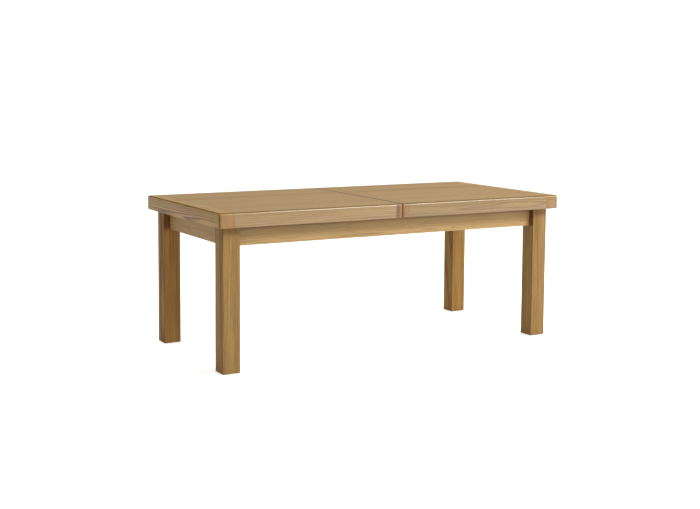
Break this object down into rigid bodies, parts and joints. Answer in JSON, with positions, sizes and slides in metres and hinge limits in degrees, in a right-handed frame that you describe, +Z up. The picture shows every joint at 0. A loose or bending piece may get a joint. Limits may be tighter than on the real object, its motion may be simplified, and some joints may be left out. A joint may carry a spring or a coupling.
{
  "type": "extending dining table",
  "caption": "Solid oak dining table on square legs whose top parts at a middle seam, its halves sliding outwards on wooden runners over a fixed frame that stores a loose leaf.",
  "frame": {"origin": "on the floor under the middle of the closed table", "axes": "+X along the table to its right end, -Y is the front, +Z up"},
  "size_m": [2, 0.945, 0.775],
  "materials": {
    "oak_legs": "satin",
    "oak_aprons": "satin",
    "oak_panels": "satin",
    "oak_edges": "satin",
    "oak_ends": "satin",
    "beech": "satin",
    "steel": "satin",
    "zinc": "satin",
    "nylon": "matte"
  },
  "bodies": {
    "frame": {"leg_front_left": "oak_legs", "leg_front_right": "oak_legs", "leg_back_left": "oak_legs", "leg_back_right": "oak_legs", "apron_front": "oak_aprons", "apron_back": "oak_aprons", "apron_left": "oak_aprons", "apron_right": "oak_aprons", "corner_block_front_left": "beech", "corner_block_front_right": "beech", "corner_block_back_left": "beech", "corner_block_back_right": "beech", "corner_block_screws": "steel", "leg_bolts": "steel", "leg_washers": "steel", "leg_nuts": "steel", "foot_glides": "nylon", "cross_rail_left": "beech", "cross_rail_right": "beech", "guide_front": "beech", "guide_back": "beech", "guide_screws": "steel", "leaf_rail_left": "beech", "leaf_rail_right": "beech", "leaf_stops": "beech"},
    "top_left": {"top_panel_left": "oak_panels", "end_cap_left": "oak_ends", "edge_front_left": "oak_edges", "edge_back_left": "oak_edges", "seam_strip_left": "oak_ends", "runner_front_left": "beech", "runner_back_left": "beech", "runner_screws_left": "steel", "top_dowels": "beech", "lock_housing_front": "zinc", "lock_housing_back": "zinc", "lock_screws_left": "steel"},
    "top_right": {"top_panel_right": "oak_panels", "end_cap_right": "oak_ends", "edge_front_right": "oak_edges", "edge_back_right": "oak_edges", "seam_strip_right": "oak_ends", "runner_front_right": "beech", "runner_back_right": "beech", "runner_screws_right": "steel", "lock_keeper_front": "zinc", "lock_keeper_back": "zinc", "lock_screws_right": "steel"},
    "lock_bolt_front": {"lock_bolt_front": "steel"},
    "lock_bolt_back": {"lock_bolt_back": "steel"},
    "leaf": {"leaf_panel": "oak_panels", "leaf_edge_front": "oak_edges", "leaf_edge_back": "oak_edges", "leaf_strip_left": "oak_ends", "leaf_strip_right": "oak_ends", "leaf_dowels": "beech"}
  },
  "joints": [
    {"name": "left_half_slide", "type": "slide", "parent": "frame", "child": "top_left", "axis": [-1, 0, 0], "range_m": [0, 0.25]},
    {"name": "right_half_slide", "type": "slide", "parent": "frame", "child": "top_right", "axis": [1, 0, 0], "range_m": [0, 0.25]},
    {"name": "front_lock_slide", "type": "slide", "parent": "top_left", "child": "lock_bolt_front", "axis": [1, 0, 0], "range_m": [0, 0.02]},
    {"name": "back_lock_slide", "type": "slide", "parent": "top_left", "child": "lock_bolt_back", "axis": [1, 0, 0], "range_m": [0, 0.02]},
    {"name": "leaf_slide", "type": "slide", "parent": "frame", "child": "leaf", "axis": [1, 0, 0], "range_m": [-0.02, 0.02]}
  ]
}
